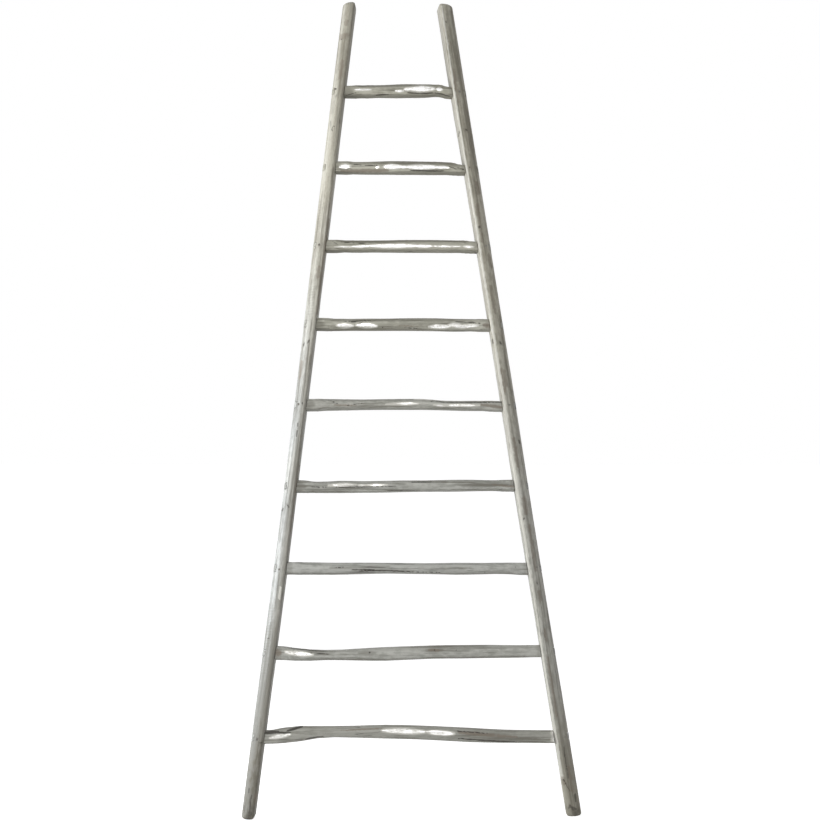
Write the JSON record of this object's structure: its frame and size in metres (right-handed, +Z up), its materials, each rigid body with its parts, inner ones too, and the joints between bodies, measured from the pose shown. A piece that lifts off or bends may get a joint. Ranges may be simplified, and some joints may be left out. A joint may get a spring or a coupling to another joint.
{
  "type": "leaning ladder",
  "caption": "Tapered leaning ladder of split half-round poles and hewn rungs, silver-painted wood, for hanging textiles or light climbing decor.",
  "frame": {"origin": "on the floor, under the middle of the ladder's bounding box, with the ladder leaning as in use", "axes": "+Z up, +Y towards the wall that the ladder leans on, +X to the right of someone facing it"},
  "size_m": [0.8654, 0.3884, 2.1469],
  "materials": {
    "stile_wood": "old aluminium-coloured paint, rubbed thin over split poles",
    "rung_wood": "old aluminium-coloured paint, burnished bright where hands and feet have rubbed it",
    "nail_iron": "dark rusted iron, traces of paint"
  },
  "bodies": {
    "root": {"left_stile": "stile_wood", "right_stile": "stile_wood", "rung_1": "rung_wood", "rung_2": "rung_wood", "rung_3": "rung_wood", "rung_4": "rung_wood", "rung_5": "rung_wood", "rung_6": "rung_wood", "rung_7": "rung_wood", "rung_8": "rung_wood", "rung_9": "rung_wood", "nail_left_1": "nail_iron", "nail_right_1": "nail_iron", "nail_left_3": "nail_iron", "nail_right_3": "nail_iron", "nail_left_5": "nail_iron", "nail_right_5": "nail_iron", "nail_left_7": "nail_iron", "nail_right_7": "nail_iron", "nail_left_9": "nail_iron", "nail_right_9": "nail_iron"}
  },
  "joints": []
}
